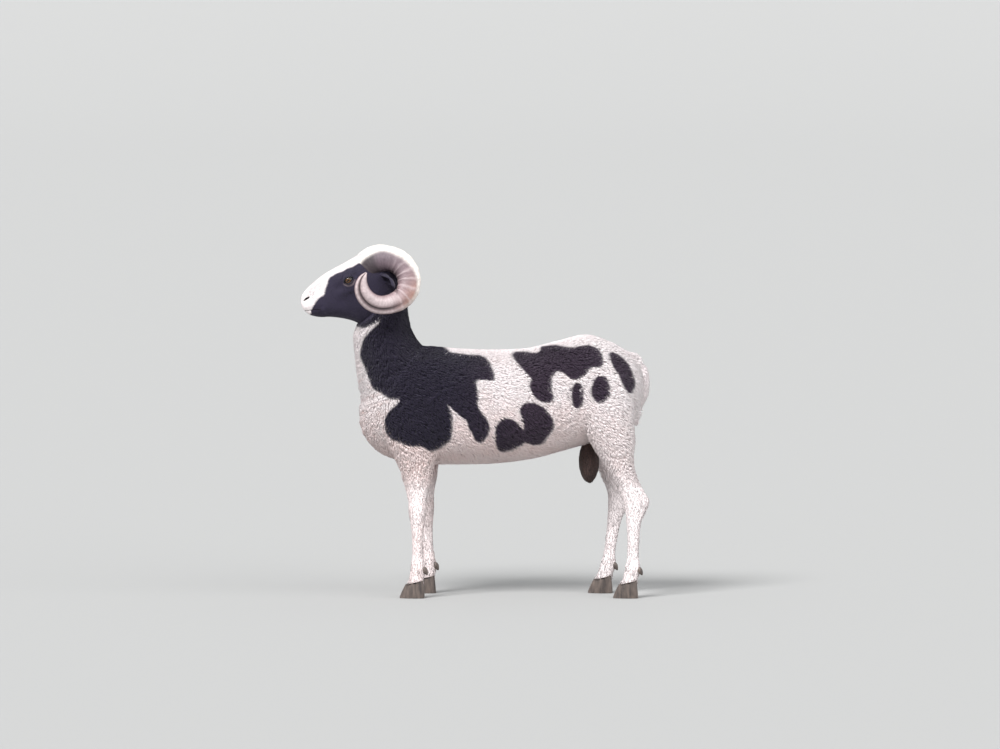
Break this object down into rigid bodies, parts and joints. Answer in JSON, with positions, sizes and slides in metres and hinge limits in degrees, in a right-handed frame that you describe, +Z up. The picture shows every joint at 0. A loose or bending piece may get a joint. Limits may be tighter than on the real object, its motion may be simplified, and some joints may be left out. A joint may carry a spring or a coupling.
{
  "type": "jacob sheep",
  "caption": "Life-size still model of a young horned piebald ram with a short summer fleece, standing with its head raised.",
  "frame": {"origin": "on the floor, under the middle of the bounding box", "axes": "+Z up, the ram faces -X, its left side is towards -Y"},
  "size_m": [0.9601, 0.3283, 0.9661],
  "materials": {
    "white_wool": "matte, short crimped fleece",
    "black_wool": "matte, short crimped fleece and dense face hair",
    "white_hair": "satin, short flat leg hair",
    "horn": "satin, ridged horn",
    "hoof": "satin, dark hoof horn",
    "eye": "wet gloss over an amber brown iris"
  },
  "bodies": {
    "root": {"torso": "white_wool", "neck": "black_wool", "head": "black_wool", "ear_left": "black_wool", "ear_right": "black_wool", "eye_left": "eye", "eye_right": "eye", "horn_left": "horn", "horn_right": "horn", "thigh_left": "white_wool", "thigh_right": "white_wool", "foreleg_left": "white_hair", "foreleg_right": "white_hair", "hindleg_left": "white_hair", "hindleg_right": "white_hair", "tail": "white_wool", "scrotum": "black_wool", "claw_foreleg_left_outer": "hoof", "claw_foreleg_left_inner": "hoof", "claw_foreleg_right_outer": "hoof", "claw_foreleg_right_inner": "hoof", "claw_hindleg_left_outer": "hoof", "claw_hindleg_left_inner": "hoof", "claw_hindleg_right_outer": "hoof", "claw_hindleg_right_inner": "hoof"}
  },
  "joints": []
}
